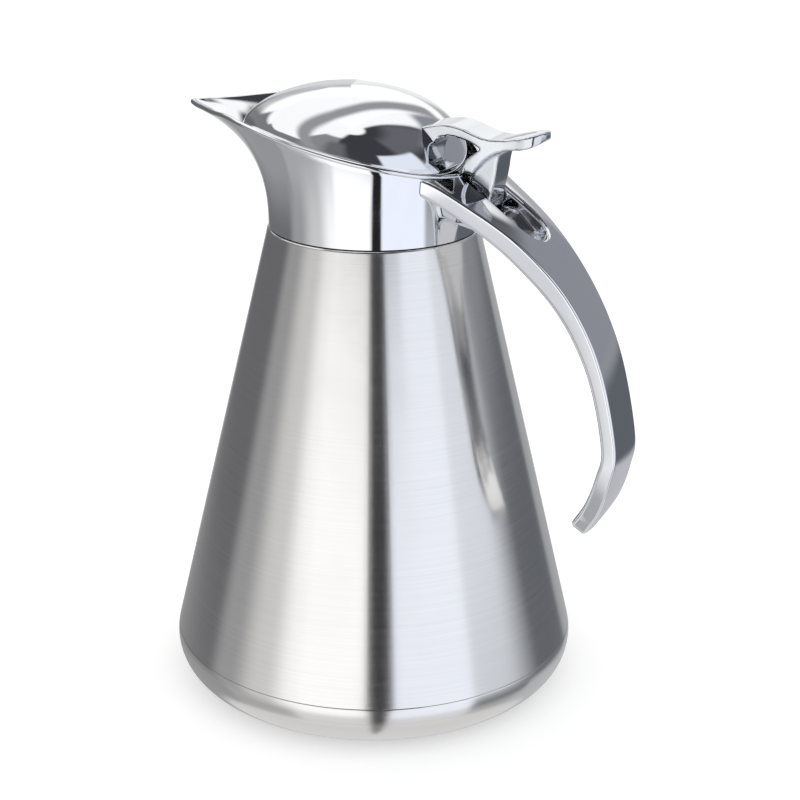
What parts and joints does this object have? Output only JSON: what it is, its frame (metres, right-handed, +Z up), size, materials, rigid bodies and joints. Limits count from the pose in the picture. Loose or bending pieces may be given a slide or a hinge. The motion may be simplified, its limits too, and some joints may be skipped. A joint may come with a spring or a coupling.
{
  "type": "vacuum jug",
  "caption": "Conical double-walled steel pouring jug with a flared spout collar, a hinged domed lid with a thumb lever, and an open curved handle.",
  "frame": {"origin": "middle of the bounding box's bottom, on the plane that the foot ring stands on", "axes": "+Z up along the jug's axis, +X towards the handle, -X towards the spout, +Y across the jug"},
  "size_m": [0.163, 0.1398, 0.2065],
  "materials": {
    "steel": "satin, brushed round the body",
    "polished": "mirror polished",
    "screw": "plain, machined",
    "plastic": "fine matt moulding",
    "silicone": "matt",
    "foam": "fine-celled foam"
  },
  "bodies": {
    "jug": {"outer_shell": "steel", "base_cup": "steel", "base_disc": "polished", "inner_flask": "steel", "getter": "steel", "mouth_ring": "steel", "neck_ring": "plastic", "neck_gasket": "silicone", "spout_collar": "polished", "handle": "polished", "handle_screw_left": "screw", "handle_screw_right": "screw", "screw_washer_left": "screw", "screw_washer_right": "screw", "hinge_pin": "screw", "pin_plug": "polished"},
    "lid": {"lid_dome": "polished", "lid_lever": "polished", "lever_screw_left": "screw", "lever_screw_right": "screw", "lid_pan": "plastic", "lid_seal": "silicone", "lid_insulation": "foam", "plug_insulation": "foam", "hinge_bush_left": "plastic", "hinge_bush_right": "plastic"}
  },
  "joints": [
    {"name": "lid_hinge", "type": "hinge", "parent": "jug", "child": "lid", "pos_m": [0.02994, 0, 0.1738], "axis": [0, 1, 0], "range_deg": [0, 60]}
  ]
}
